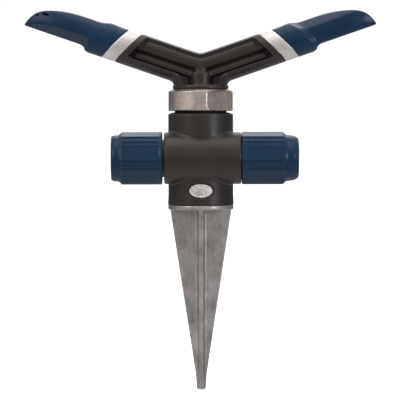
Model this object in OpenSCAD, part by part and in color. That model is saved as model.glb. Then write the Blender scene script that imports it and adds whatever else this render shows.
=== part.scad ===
// Two-armed rotary lawn sprinkler on a ground spike, millimetres, +Z up.
// The origin is on the rotor's axis, at the underside of the spike's flange, which is the
// ground line. The spike goes down from it. The hose line runs along X: hose in at -X,
// capped outlet for a second hose at +X. The two arms are one shape turned by 180 degrees.

/* [Ground spike] */
// Length of the spike below the ground line
spike_len = 124.2; // [90:0.1:180]
// Radius of the flange that stops on the ground
flange_r = 22.4; // [20:0.1:26]
// Thickness of the flange
flange_t = 3.0; // [2:0.1:4]
// Thickness of each of the four fins
fin_t = 3.2; // [2.4:0.1:5]
// Half width over the fins at the ground line
fin_root_w = 21.0; // [16:0.1:22]
// Half width of the blunt point
fin_tip_w = 2.4; // [2:0.1:5]

/* [Snap lugs] */
// Width of the oval lug that shows through the body
lug_w = 16.0; // [12:0.1:18]
// Height of the oval lug
lug_h = 9.4; // [7:0.1:11]
// Height of the lug's centre above the ground line
lug_z = 13.0; // [11:0.1:15]

/* [Body] */
// Radius of the upright housing
body_r = 22.2; // [21:0.1:26]
// Height of the housing's top face
body_top_z = 66.2; // [62:0.1:72]
// Radius of the hose barrel that crosses the housing
barrel_r = 17.6; // [16:0.1:18.5]
// Height of the hose barrel's axis
barrel_z = 35.0; // [34:0.1:40]
// How far the barrel's axis stands in front of the rotor's axis
barrel_front = 9.7; // [6:0.1:11]
// Where the barrel ends on the inlet side
barrel_in_x = 24.9; // [24:0.1:30]
// Where the barrel ends on the outlet side
barrel_out_x = 27.6; // [26:0.1:32]

/* [Hose fittings] */
// Radius over the male garden hose thread
hose_thread_r = 13.3; // [13.2:0.05:13.4]
// Thread pitch of the garden hose thread
hose_pitch = 2.209; // [2.2:0.001:2.22]
// Radius of the wall of the female garden hose thread
hose_nut_r = 13.6; // [13.5:0.05:13.8]
// Radius over the grip lands of both collars
grip_r = 17.9; // [17.5:0.1:19]
// Number of broad grip lands around a collar, with a narrow rib between each two
grip_lands = 6; // [4:1:8]
// Where the inlet collar's open mouth is
inlet_mouth_x = 60.9; // [57:0.1:64]
// Where the outlet cap's closed end is
cap_end_x = 66.8; // [63:0.1:70]

/* [Bearing] */
// Radius of the zinc nut on top of the body
nut_r = 22.0; // [21:0.1:24]
// Height of the nut
nut_h = 14.8; // [13:0.1:18]
// Distance across the nut's two wrench flats
nut_flats = 36.6; // [35:0.1:42]
// Turn of the wrench flats from the hose line
nut_turn = 45; // [0:1:90]
// Outer radius of the rotor's hollow brass stem
stem_r = 5.6; // [5:0.1:6]

/* [Rotor] */
// Rise of each arm above the level
arm_rise = 19; // [10:0.5:25]
// Height at which the two arm axes meet
arm_root_z = 93.5; // [92:0.1:98]
// Depth of an arm across its axis
arm_depth = 24; // [20:0.1:26]
// Front to back thickness of an arm
arm_thick = 20; // [17:0.1:22]
// Distance along the arm to the inner edge of the metal band
band_s = 51.8; // [45:0.1:60]
// Width of the metal band along the arm
band_w = 9.7; // [6:0.1:12]
// Slant of the band, which leans in at the top
band_slant = 26.5; // [0:1:35]
// Distance along the arm to the nozzle's tip
tip_s = 124.9; // [115:0.1:140]

/* [Hidden] */
$fn = 96;

far = 200;              // longer than any cut needs to be
lap = 0.01;             // overlap that joins two solids of one node
run = 0.08;             // radial clearance of a running fit
gap = 0.3;              // clearance between pieces that move past each other

// Water way
way_r = 8;              // through the tailpiece
barrel_bore_r = 9;      // through the barrel and the outlet nipple
riser_r = 7;            // up through the body to the stem
nipple_end_x = barrel_out_x + 16.5;

// Inlet tailpiece, from its inner end to the hose washer, as distances from the rotor's axis
spigot_r_x = 10.5;      // radius of the spigot welded into the barrel
tail_in_x = 12.2;
ring_x = 16;            // O-ring groove
ring_w = 2.6;
shoulder_r = 12.8;      // seen in the gap between the barrel and the collar
tail_groove_x = 31;     // groove that holds the collar
tail_groove_r = 10;
tail_lip_x = 36.2;
tail_end_x = 38.5;
washer_face_x = 41.6;   // where the hose washer's seat ends
thread_end_x = 42.2;    // where the hose thread's wall ends, just past the strainer's rim

// Bearing stack, from the bottom up
neck_r = 16;            // the body's threaded neck inside the nut
cavity_r = 10.6;        // the seal's seat in the neck
cavity_z = body_top_z - 4.2;
gasket_h = 1.0;
nut_z = body_top_z + gasket_h;
nut_top_z = nut_z + nut_h;
neck_top_z = nut_z + 6.1;
seal_h = 4.0;
washer_h = 1.0;
stem_flange_h = 3.0;
lower_washer_z = cavity_z + seal_h + 0.1;
stem_flange_z = lower_washer_z + washer_h + 0.1;
upper_washer_z = stem_flange_z + stem_flange_h + 0.1;
sleeve_z = upper_washer_z + washer_h + 0.1;
sleeve_flange_h = 2.0;
sleeve_r = 7.6;
stem_bore_r = 4.0;
stem_bottom_z = 58;

// Rotor
rotor_z = nut_top_z + gap;
rotor_base_r = 19.0;
rotor_base_h = 2.1;
rotor_neck_r = 18.2;
rotor_neck_h = 10;
boss_r = 7.2;           // upright boss around the stem, seen in the front recess
recess_w = 13.2;        // half width of the recess beside the boss
web_t = 3.2;            // web left between the front and back recesses
collar_s = 5;           // solid collar at the end of each arm
water_t = 4.8;          // the water tube's axis above the arm's axis
tube_r = 5.4;
tube_bore_r = 3.8;
rib_t = -3.4;           // lower stiffening rib
rib_h = 4.2;
rib_y = 4.6;
spigot_r = 5.8;
spigot_s = band_s + 16;

// Nozzle
band_wall = 1.2;
socket_s = band_s + band_w;
socket_len = 12;
blade_back_y = 8.2;     // half thickness on the side with the ridge facet
blade_spray_y = 9.4;    // half thickness on the side with the spray holes
blade_low_t = -8.6;     // lower edge of the blade, below the arm's axis
blade_top_t = 10.4;     // ridge of the blade where it leaves the socket
nose_s = tip_s - 3;     // where the ridge comes down to the nose
ridge_fall_s = 86;      // where the ridge starts to come down
hole_tilt = 20;         // tilt of the spray holes above the level
// Each spray hole: where it opens along, out of and across the blade, and its half sizes
spray_holes = [
    [112.5, 6.6, 3.3, 2.4, 0.85], [118.1, 5.2, 1.1, 0.9, 0.6], [120.8, 4.0, -0.1, 0.6, 0.5]
];

// ---------------------------------------------------------------- helpers

// A four-arc oval: half size a along its first axis, b along its second.
module oval(a, b) {
    r = 0.9 * b;
    side = ((a - r) * (a - r) + b * b - r * r) / (2 * (b - r));
    half = side * (a - r) / (side - r);
    for (k = [-1, 1]) {
        translate([k * (a - r), 0]) circle(r = r);
    }
    intersection() {
        translate([0, b - side]) circle(r = side);
        translate([0, side - b]) circle(r = side);
        translate([-half, -b]) square([2 * half, 2 * b]);
    }
}

// A disc or ring of height h standing on z.
module ring(z, h, r_out, r_in = 0) {
    translate([0, 0, z]) difference() {
        cylinder(r = r_out, h = h);
        if (r_in > 0) translate([0, 0, -1]) cylinder(r = r_in, h = h + 2);
    }
}

// Turned profile on the hose line: points are [distance along +X, radius].
module hose_turned(points) {
    translate([0, -barrel_front, barrel_z]) rotate([0, 90, 0])
        rotate_extrude() polygon([for (p = points) [p[1], p[0]]]);
}

// A straight rod on the hose line from x0 to x1.
module hose_rod(x0, x1, r) {
    translate([x0, -barrel_front, barrel_z]) rotate([0, 90, 0]) cylinder(r = r, h = x1 - x0);
}

// A toroidal O-ring around the children's Z axis.
module o_ring(r_mid, r_cord) {
    rotate_extrude() translate([r_mid, 0]) circle(r = r_cord, $fn = 32);
}

// Places its children on an arm: X outward along the arm, Z across it.
module on_arm(turn) {
    rotate([0, 0, turn]) translate([0, 0, arm_root_z]) rotate([0, -arm_rise, 0]) children();
}

// An oval bar along the arm.
module arm_bar(s0, s1, depth, thick) {
    translate([s0, 0, 0]) rotate([0, 90, 0]) linear_extrude(s1 - s0) oval(depth / 2, thick / 2);
}

// A round rod along the arm's water axis.
module water_rod(s0, s1, r) {
    translate([s0, 0, water_t]) rotate([0, 90, 0]) cylinder(r = r, h = s1 - s0);
}

// Everything between two planes that slant like the band.
module slanted_zone(s0, s1) {
    translate([s0, 0, 0]) rotate([0, -band_slant, 0])
        translate([0, -far / 2, -far / 2]) cube([(s1 - s0) * cos(band_slant), far, far]);
}

// Grooves on both sides of each broad grip land, cut from x0 to x1 on the hose line.
module grip_grooves(x0, x1) {
    groove_deep = 0.8;
    groove_w = 1.8;
    land_half_deg = 21.5;                 // from a land's centre to the groove's centre
    land_deg = 14.5;                      // the nearest land's centre above the front
    translate([x0, -barrel_front, barrel_z]) {
        for (i = [0 : grip_lands - 1], side = [-1, 1]) {
            rotate([180 - land_deg + 360 / grip_lands * i + side * land_half_deg, 0, 0])
                translate([0, grip_r - groove_deep, -groove_w / 2])
                    cube([x1 - x0, far, groove_w]);
        }
    }
}

// ---------------------------------------------------------------- ground parts

module fin_pair() {
    rotate([90, 0, 0]) translate([0, 0, -fin_t / 2]) linear_extrude(fin_t)
        polygon([
            [-fin_root_w, lap], [fin_root_w, lap],
            [fin_tip_w, fin_tip_w - spike_len], [-fin_tip_w, fin_tip_w - spike_len]
        ]);
}

// Zinc casting: four fins, a flange, and a plug with two oval lugs that snap into the body.
module ground_spike() {
    plug_r = 19.3;
    plug_top_z = lug_z + lug_h / 2 - 1.2;
    lug_out = body_r - 0.2;
    color([0.56, 0.54, 0.52]) {
        fin_pair();
        rotate([0, 0, 90]) fin_pair();
        translate([0, 0, fin_tip_w - spike_len]) sphere(r = fin_tip_w);
        translate([0, 0, fin_tip_w - spike_len]) cylinder(r = fin_tip_w, h = 12);
        ring(0, flange_t, flange_r);
        ring(flange_t - lap, plug_top_z - flange_t, plug_r, 15);
        ring(flange_t - lap, 2, plug_r);
        intersection() {
            translate([0, 0, lug_z]) rotate([90, 0, 0]) translate([0, 0, -lug_out - 1])
                linear_extrude(2 * lug_out + 2) oval(lug_w / 2, lug_h / 2);
            ring(0, 30, lug_out, 15.5);
        }
    }
}

// ---------------------------------------------------------------- body

module body_outside() {
    chamfer = 1.2;
    skirt_flare = 0.3;
    rotate_extrude() polygon([
        [0, flange_t], [body_r + skirt_flare, flange_t], [body_r, flange_t + 8],
        [body_r, body_top_z - chamfer], [body_r - 2.5 * chamfer, body_top_z], [0, body_top_z]
    ]);
    ring(body_top_z - lap, neck_top_z - body_top_z + lap, neck_r);
    hose_turned([
        [-barrel_in_x, 0], [-barrel_in_x, barrel_r - chamfer], [chamfer - barrel_in_x, barrel_r],
        [barrel_out_x - chamfer, barrel_r], [barrel_out_x, barrel_r - chamfer], [barrel_out_x, 0]
    ]);
    nipple();
}

// Male hose thread: a core with one ridge per pitch.
module nipple() {
    core_r = 12.1;
    first = 3;
    hose_rod(barrel_out_x - 1, nipple_end_x, core_r);
    for (i = [0 : 4]) {
        x = barrel_out_x + first + i * hose_pitch;
        hose_turned([
            [x, core_r - 1], [x, core_r], [x + 0.6, hose_thread_r], [x + 1.1, hose_thread_r],
            [x + 1.7, core_r], [x + 1.7, core_r - 1]
        ]);
    }
}

// Black moulded housing: upright body, hose barrel, outlet nipple and hollow skirt.
module body() {
    skirt_bore_r = 19.5;
    skirt_top_z = lug_z + lug_h / 2 - 0.9;
    window_gap = 0.4;
    spigot_bore_x = tail_in_x - 0.2;
    color([0.16, 0.15, 0.15]) difference() {
        body_outside();
        ring(0, skirt_top_z, skirt_bore_r);
        translate([0, 0, lug_z]) rotate([90, 0, 0]) translate([0, 0, -far / 2])
            linear_extrude(far) oval(lug_w / 2 + window_gap, lug_h / 2 + window_gap);
        hose_rod(-far, far, barrel_bore_r);
        hose_rod(-far, -spigot_bore_x, spigot_r_x + 0.02);
        translate([0, 0, barrel_z]) cylinder(r = riser_r, h = far);
        translate([0, 0, cavity_z]) cylinder(r = cavity_r, h = far);
    }
}

// ---------------------------------------------------------------- hose fittings

// Moulded tailpiece welded into the barrel. The inlet collar turns in its groove.
module inlet_tailpiece() {
    color([0.17, 0.16, 0.16]) hose_turned([
        [-tail_in_x, way_r], [-tail_in_x, spigot_r_x], [-ring_x, spigot_r_x], [-ring_x, 9.2],
        [-ring_x - ring_w, 9.2], [-ring_x - ring_w, spigot_r_x], [-barrel_in_x, spigot_r_x],
        [-barrel_in_x, shoulder_r], [-tail_groove_x, shoulder_r], [-tail_groove_x, tail_groove_r],
        [-tail_lip_x, tail_groove_r], [-tail_lip_x, 12], [-tail_end_x, 12], [-tail_end_x, way_r]
    ]);
}

module tailpiece_o_ring() {
    color([0.08, 0.08, 0.08]) translate([-ring_x - ring_w / 2, -barrel_front, barrel_z])
        rotate([0, 90, 0]) o_ring(9.85, 0.65);
}

// Blue ridged hose collar. Its bore is the wall of the female hose thread.
module inlet_coupling() {
    back_x = barrel_in_x + 1.3;
    rim_r = 15.7;
    rim_x = inlet_mouth_x - 5.3;
    lip_x = tail_groove_x + 0.4;          // inner lip that rides in the tailpiece's groove
    color([0.12, 0.24, 0.36]) difference() {
        hose_turned([
            [-back_x, 13.1], [-back_x, grip_r - 0.8], [-back_x - 0.8, grip_r],
            [2 - rim_x, grip_r], [-rim_x, rim_r + 0.3], [-rim_x, rim_r],
            [1.2 - inlet_mouth_x, rim_r], [-inlet_mouth_x, rim_r - 1.2],
            [-inlet_mouth_x, 14.2], [1 - inlet_mouth_x, hose_nut_r], [-thread_end_x, hose_nut_r],
            [-thread_end_x, 12.9], [-tail_lip_x + gap, 12.9],
            [-tail_lip_x + gap, tail_groove_r + run], [-lip_x, tail_groove_r + run], [-lip_x, 13.1]
        ]);
        grip_grooves(-rim_x, -back_x + 1);
    }
}

module inlet_washer() {
    color([0.08, 0.08, 0.08])
        hose_turned([
            [-tail_end_x - 0.1, 8.3], [-tail_end_x - 0.1, 12.8],
            [0.2 - washer_face_x, 12.8], [0.2 - washer_face_x, 8.3]
        ]);
}

// Domed mesh screen. Its rim lies on the hose washer and its dome points downstream.
module inlet_strainer() {
    wall = 0.4;
    rim_r = 12.4;
    dome_r = 7.6;
    dome_len = 5;
    rim_x = 0.1 - washer_face_x;
    color([0.72, 0.72, 0.72]) {
        hose_turned([
            [rim_x, dome_r - wall], [rim_x, rim_r], [rim_x - wall, rim_r],
            [rim_x - wall, dome_r - wall]
        ]);
        hose_turned([
            [rim_x - wall, dome_r - wall], [rim_x - wall, dome_r], [rim_x + dome_len - 1, dome_r - 2],
            [rim_x + dome_len, 0], [rim_x + dome_len - wall, 0],
            [rim_x + dome_len - 1 - wall, dome_r - 2 - wall]
        ]);
    }
}

// Blue closed cap on the outlet nipple.
module outlet_cap() {
    mouth_x = barrel_out_x + gap;
    grip_end_x = cap_end_x - 9.1;
    taper_r = 15.7;
    end_wall = 4;
    socket_end_x = nipple_end_x + 2.9;    // leaves room for the washer
    relief_r = 10.5;                      // hollow behind the washer
    color([0.12, 0.24, 0.36]) difference() {
        hose_turned([
            [mouth_x, 0], [mouth_x, grip_r - 0.8], [mouth_x + 0.8, grip_r],
            [grip_end_x - 1.6, grip_r], [grip_end_x, taper_r + 0.4], [grip_end_x + 0.8, taper_r],
            [cap_end_x - 2, taper_r - 1.1], [cap_end_x - 0.6, taper_r - 2.3],
            [cap_end_x, taper_r - 4], [cap_end_x, 0]
        ]);
        hose_rod(mouth_x - 1, socket_end_x, hose_nut_r);
        hose_rod(mouth_x, cap_end_x - end_wall, relief_r);
        grip_grooves(mouth_x - 1, grip_end_x);
    }
}

module cap_washer() {
    x0 = nipple_end_x + 0.1;
    color([0.08, 0.08, 0.08])
        hose_turned([[x0, 8.3], [x0, 13.3], [x0 + 2.5, 13.3], [x0 + 2.5, 8.3]]);
}

// ---------------------------------------------------------------- bearing

// Zinc nut with two wrench flats. It screws on the body's neck and holds the stem down.
module bearing_nut() {
    low_chamfer = 0.6;
    top_chamfer = 1.5;
    flat_z = nut_z + 1.2;
    flat_h = nut_h - 3.1;
    color([0.70, 0.67, 0.63]) difference() {
        rotate_extrude() polygon([
            [0, nut_z], [nut_r - low_chamfer, nut_z], [nut_r, nut_z + low_chamfer],
            [nut_r, nut_top_z - top_chamfer], [nut_r - 2 * top_chamfer, nut_top_z], [0, nut_top_z]
        ]);
        rotate([0, 0, nut_turn]) for (k = [0, 180]) {
            rotate([0, 0, k]) translate([-far / 2, nut_flats / 2, flat_z]) cube([far, far, flat_h]);
        }
        ring(0, sleeve_z + sleeve_flange_h, neck_r + 0.1);
        ring(0, far, sleeve_r);
    }
}

module nut_gasket() {
    color([0.08, 0.08, 0.08]) ring(body_top_z, gasket_h, 17.8, neck_r + 0.05);
}

module stem_seal() {
    color([0.08, 0.08, 0.08]) ring(cavity_z, seal_h, cavity_r - 0.05, stem_r + run);
}

module lower_thrust_washer() {
    color([0.90, 0.89, 0.85]) ring(lower_washer_z, washer_h, 10.3, stem_r + run);
}

module upper_thrust_washer() {
    color([0.90, 0.89, 0.85]) ring(upper_washer_z, washer_h, 10.3, stem_r + run);
}

// Flanged acetal bush that the stem turns in.
module bearing_sleeve() {
    color([0.90, 0.89, 0.85]) difference() {
        union() {
            ring(sleeve_z, sleeve_flange_h, 10.4);
            ring(sleeve_z, nut_top_z - sleeve_z, sleeve_r);
        }
        ring(0, far, stem_r + run);
    }
}

// Hollow brass stem moulded into the rotor.
module rotor_stem() {
    stem_top_z = rotor_z + 10;
    color([0.78, 0.62, 0.30]) difference() {
        union() {
            ring(stem_bottom_z, stem_top_z - stem_bottom_z, stem_r);
            ring(stem_flange_z, stem_flange_h, 9.6);
        }
        ring(0, far, stem_bore_r);
    }
}

// ---------------------------------------------------------------- rotor

// Recesses in both faces of an arm, beside the water tube and the lower rib.
module arm_recesses() {
    top_t = 9;
    low_t = -8;
    difference() {
        for (side = [0, 1]) {
            mirror([0, side, 0]) intersection() {
                translate([0, web_t / 2, low_t]) cube([band_s, far, top_t - low_t]);
                slanted_zone(-far, band_s - collar_s);
            }
        }
        water_rod(-20, band_s, tube_r);
        translate([-20, -rib_y, rib_t - rib_h / 2]) cube([far, 2 * rib_y, rib_h]);
    }
}

// Recess in both faces of the neck, around the upright boss.
module neck_recess() {
    top_z = arm_root_z - 1;
    floor_z = rotor_z + rotor_base_h;
    difference() {
        translate([-recess_w, -far / 2, floor_z]) cube([2 * recess_w, far, top_z - floor_z]);
        translate([-recess_w - 1, -web_t / 2, 0]) cube([2 * recess_w + 2, web_t, far]);
        cylinder(r = boss_r, h = far);
    }
}

// Black moulded rotor: base, neck, two ribbed arms with their water tubes and spigots.
module rotor_arms() {
    color([0.15, 0.14, 0.14]) difference() {
        union() {
            difference() {
                union() {
                    ring(rotor_z, rotor_neck_h, rotor_neck_r);
                    for (turn = [0, 180]) {
                        on_arm(turn) difference() {
                            arm_bar(-5, band_s + 20, arm_depth, arm_thick);
                            slanted_zone(band_s, band_s + 60);
                        }
                    }
                }
                for (turn = [0, 180]) {
                    on_arm(turn) arm_recesses();
                }
                neck_recess();
                ring(rotor_z - 40, 40, 60);
            }
            ring(rotor_z, rotor_base_h, rotor_base_r);
            ring(rotor_z, 14, boss_r);
            for (turn = [0, 180]) {
                on_arm(turn) water_rod(0, band_s - collar_s, tube_r);
                on_arm(turn) water_rod(band_s - 10, spigot_s, spigot_r);
            }
        }
        ring(rotor_z - 1, 11.05, stem_r + 0.01);
        ring(rotor_z, 15, stem_bore_r);
        for (turn = [0, 180]) {
            on_arm(turn) water_rod(0, far, tube_bore_r);
            on_arm(turn) translate([spigot_s - 4.5, 0, water_t]) rotate([0, 90, 0])
                spigot_groove();
        }
    }
}

module spigot_groove() {
    difference() {
        cylinder(r = spigot_r + 1, h = 2.2);
        translate([0, 0, -1]) cylinder(r = spigot_r - 1, h = 5);
    }
}

// ---------------------------------------------------------------- bands

module band(turn) {
    play = 0.05;
    color([0.83, 0.80, 0.76]) on_arm(turn) difference() {
        intersection() {
            arm_bar(30, 90, arm_depth - 0.4, arm_thick - 0.4);
            slanted_zone(band_s + play, socket_s - play);
        }
        arm_bar(20, 95, arm_depth - 0.4 - 2 * band_wall, arm_thick - 0.4 - 2 * band_wall);
    }
}

module band_left() { band(180); }
module band_right() { band(0); }

// ---------------------------------------------------------------- nozzles

// Height of the blade's ridge above the arm's axis at distance s.
function ridge_t(s) =
    s < ridge_fall_s ? blade_top_t
    : blade_top_t * (1 - pow((s - ridge_fall_s) / (nose_s - ridge_fall_s), 3.1));

// Side view of the blade: a ridge that curves down to a blunt nose, and a straight edge.
module blade_outline() {
    nose_r = 2.6;
    steps = 8;
    ridge = [for (i = [0 : steps]) let (s = ridge_fall_s + i * (nose_s - ridge_fall_s) / steps)
        [s, ridge_t(s)]];
    nose = [for (a = [20 : -27.5 : -90]) [tip_s - nose_r + nose_r * cos(a),
        blade_low_t + nose_r + nose_r * sin(a)]];
    polygon(concat([[socket_s, blade_low_t], [socket_s, blade_top_t]], ridge, nose));
}

// Half thickness of the blade at distance s: even at first, then rounding in to the nose.
function blade_y(s, root_y, taper_s, taper_len) =
    s < taper_s ? root_y : root_y * (1 - pow((s - taper_s) / taper_len, 3));

// Top view of the blade: thicker on the spray side than on the other.
module blade_plan() {
    end_s = tip_s + 2;
    steps = 7;
    taper_s = 84;
    stations = [for (i = [0 : steps]) taper_s + i * (end_s - taper_s) / steps];
    polygon(concat(
        [[socket_s, -blade_back_y], [socket_s, blade_spray_y]],
        [for (s = stations) [s, blade_y(s, blade_spray_y, taper_s, 44)]],
        [for (i = [steps : -1 : 0]) [stations[i], -blade_y(stations[i], blade_back_y, taper_s, 50)]]
    ));
}

// Flat scoop under the blade's leading side. The cut starts with a square shoulder.
module scoop_cut() {
    scoop_s = 79.3;
    scoop_tilt = 35;
    translate([scoop_s, 0.5, blade_low_t]) rotate([scoop_tilt, 0, 0])
        translate([0, -far / 4, -far]) cube([far, far, far]);
}

// Narrow flat along the ridge on the blade's trailing side.
module ridge_facet_cut() {
    facet_s = 73;
    facet_tilt = 33;
    translate([facet_s, 1, blade_top_t]) rotate([facet_tilt, 0, 0])
        translate([0, -far * 3 / 4, 0]) cube([far, far, far]);
}

// Blue nozzle: oval socket, flat-sided blade and the row of spray holes near its tip.
module nozzle(turn) {
    core_gap = 0.05;
    core_cut = 0.4 + 2 * band_wall + 2 * core_gap;
    channel_r = 3.0;
    channel_fall = 6;
    channel_len = 55;
    color([0.12, 0.24, 0.36]) on_arm(turn) difference() {
        union() {
            intersection() {
                arm_bar(30, 120, arm_depth, arm_thick);
                slanted_zone(socket_s, socket_s + socket_len);
            }
            intersection() {
                arm_bar(30, 120, arm_depth - core_cut, arm_thick - core_cut);
                slanted_zone(band_s + core_gap, socket_s + lap);
            }
            difference() {
                intersection() {
                    arm_bar(socket_s + 6, tip_s + 5, arm_depth - 1, arm_thick - 0.6);
                    rotate([90, 0, 0]) translate([0, 0, -far / 2]) linear_extrude(far)
                        blade_outline();
                    translate([0, 0, -far / 2]) linear_extrude(far) blade_plan();
                }
                ridge_facet_cut();
            }
        }
        scoop_cut();
        water_rod(0, spigot_s + 0.4, spigot_r + 0.05);
        translate([spigot_s - 1, 0, water_t]) rotate([0, 90 + channel_fall, 0])
            cylinder(r = channel_r, h = channel_len);
        for (h = spray_holes) {
            translate([h[0], 0, h[2] - h[1] * tan(hole_tilt)]) rotate([hole_tilt - 90, 0, 0])
                linear_extrude(far) oval(h[3], h[4]);
        }
    }
}

module nozzle_left() { nozzle(180); }
module nozzle_right() { nozzle(0); }

module nozzle_o_ring(turn) {
    color([0.08, 0.08, 0.08]) on_arm(turn)
        translate([spigot_s - 3.4, 0, water_t]) rotate([0, 90, 0]) o_ring(spigot_r - 0.48, 0.5);
}

module nozzle_o_ring_left() { nozzle_o_ring(180); }
module nozzle_o_ring_right() { nozzle_o_ring(0); }

// ---------------------------------------------------------------- selection

ground_spike();
body();
inlet_tailpiece();
tailpiece_o_ring();
inlet_coupling();
inlet_washer();
inlet_strainer();
outlet_cap();
cap_washer();
bearing_nut();
nut_gasket();
stem_seal();
lower_thrust_washer();
upper_thrust_washer();
bearing_sleeve();
rotor_stem();
rotor_arms();
band_left();
band_right();
nozzle_left();
nozzle_right();
nozzle_o_ring_left();
nozzle_o_ring_right();
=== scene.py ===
"""Looks of the rotary lawn sprinkler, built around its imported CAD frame.

All sizes are in millimetres, in the frame's own axes, and become metres when a mesh is made.
Moulded and cast pieces are written as distance fields, smooth unions of simple shapes, and
meshed by dual_mesh. Turned pieces are lathe grids whose radius may vary around the axis.
"""

import math

import bpy
import numpy as np
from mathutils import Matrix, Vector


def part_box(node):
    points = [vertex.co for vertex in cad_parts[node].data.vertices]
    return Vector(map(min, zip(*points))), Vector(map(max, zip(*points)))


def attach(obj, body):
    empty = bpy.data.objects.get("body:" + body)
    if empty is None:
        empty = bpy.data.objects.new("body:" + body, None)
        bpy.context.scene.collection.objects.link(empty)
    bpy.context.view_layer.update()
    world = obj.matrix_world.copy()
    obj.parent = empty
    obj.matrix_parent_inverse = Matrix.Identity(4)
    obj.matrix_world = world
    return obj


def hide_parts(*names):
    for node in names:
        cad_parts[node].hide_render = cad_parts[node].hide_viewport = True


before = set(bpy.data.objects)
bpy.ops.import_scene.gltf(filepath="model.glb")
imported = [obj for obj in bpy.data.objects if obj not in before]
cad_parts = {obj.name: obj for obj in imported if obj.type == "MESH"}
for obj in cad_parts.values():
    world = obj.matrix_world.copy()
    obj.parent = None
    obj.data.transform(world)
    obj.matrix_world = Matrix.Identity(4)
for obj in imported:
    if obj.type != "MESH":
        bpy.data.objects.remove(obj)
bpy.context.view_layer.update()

MM = 0.001
TAU = 2 * math.pi


def span(node):
    """Lowest and highest corner of a CAD node, in millimetres."""
    low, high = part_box(node)
    return np.array(low) / MM, np.array(high) / MM


# ---------------------------------------------------------------- sizes taken from the frame

SPIKE_LOW, SPIKE_HIGH = span("ground_spike")
BODY_LOW, BODY_HIGH = span("body")
GASKET_LOW = span("nut_gasket")[0]
NUT_LOW, NUT_HIGH = span("bearing_nut")
ROTOR_LOW, ROTOR_HIGH = span("rotor_arms")
COLLAR_LOW, COLLAR_HIGH = span("inlet_coupling")
CAP_LOW, CAP_HIGH = span("outlet_cap")
SEAL_LOW, SEAL_HIGH = span("cap_washer")
TAIL_LOW = span("inlet_tailpiece")[0]
WASHER_LOW = span("inlet_washer")[0]

SPIKE_TIP_Z = SPIKE_LOW[2]
FLANGE_R = SPIKE_HIGH[0]
BODY_TOP_Z = GASKET_LOW[2]
NECK_TOP_Z = BODY_HIGH[2]
SKIRT_FLARE = 0.3                               # the housing is this much wider at its foot
BODY_R = BODY_HIGH[1] - SKIRT_FLARE
SKIRT_Z = BODY_LOW[2]
LINE_Y = (SEAL_LOW[1] + SEAL_HIGH[1]) / 2       # the hose line's axis
LINE_Z = (SEAL_LOW[2] + SEAL_HIGH[2]) / 2
BARREL_R = LINE_Y - BODY_LOW[1]
BARREL_IN_X = BODY_LOW[0]
BODY_GAP = 0.3                                  # between pieces that move past each other
BARREL_OUT_X = CAP_LOW[0] - BODY_GAP
NIPPLE_END_X = BODY_HIGH[0]
NUT_R = NUT_HIGH[0]
NUT_BASE_Z, NUT_TOP_Z = NUT_LOW[2], NUT_HIGH[2]
ROTOR_Z = ROTOR_LOW[2]
GRIP_R = CAP_HIGH[2] - LINE_Z

# Sizes of the design that no box gives
LUG_Z = 13.0
LUG_HALF = (8.0, 4.7)
PLUG_TOP_Z = 16.5
THREAD_PITCH = 2.209
HOSE_WALL_R = 13.6           # wall behind the female hose threads
LATHE_COLUMNS = 480
ARM_RISE = math.radians(19)
ARM_ROOT_Z = 93.5
ARM_A = 12.0                 # half depth of the arm's oval, across the arm
ARM_B = 10.0                 # half thickness, front to back
BAND_S = 51.8                # the band's inner edge, along the arm
BAND_W = 9.7
BAND_SLANT = math.tan(math.radians(26.5))
BAND_BOW = 0.6               # how far the band's edges bow outward at the front and back
SOCKET_S = BAND_S + BAND_W
SKIN = 0.05                  # how far the nozzle's sides lie inside the arm's oval
BLADE_DROP = 8.6             # the blade's flat underside below the arm's axis
TIP_S = 124.7
WATER_T = 4.8                # the water tube's axis above the arm's axis
TUBE_R = 5.4
SPRAY_HOLES = (              # s, y and t where each opens, and its half sizes along s and t
    (112.5, 6.9, 3.3, 2.4, 0.85),
    (118.1, 5.5, 1.1, 0.9, 0.6),
    (120.8, 4.3, -0.1, 0.6, 0.5))


# ---------------------------------------------------------------- distance field tools

def smooth_min(a, b, k):
    """Union with a fillet of about k."""
    blend = np.maximum(k - np.abs(a - b), 0) / k
    return np.minimum(a, b) - blend * blend * k * 0.25


def smooth_max(a, b, k):
    """Intersection with a rounded edge of about k."""
    return -smooth_min(-a, -b, k)


def carve(a, b, k=0.5):
    """Field a with b cut out of it."""
    return smooth_max(a, -b, k)


def slab(v, low, high):
    """Between two parallel planes."""
    return np.maximum(low - v, v - high)


def oval(u, v, a, b):
    """Distance to an ellipse of half sizes a and b, good near its edge."""
    near = np.hypot(u / a, v / b)
    slope = np.hypot(u / (a * a), v / (b * b)) + 1e-6
    return near * (near - 1) / slope


def rounded_rect(u, v, half_u, half_v, r):
    """Distance to a rectangle with corners of radius r."""
    du = np.abs(u) - half_u + r
    dv = np.abs(v) - half_v + r
    return np.hypot(np.maximum(du, 0), np.maximum(dv, 0)) + np.minimum(np.maximum(du, dv), 0) - r


def step(v, low, high):
    """0 below low, 1 above high, smooth between."""
    t = np.clip((v - low) / (high - low), 0, 1)
    return t * t * (3 - 2 * t)


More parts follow.
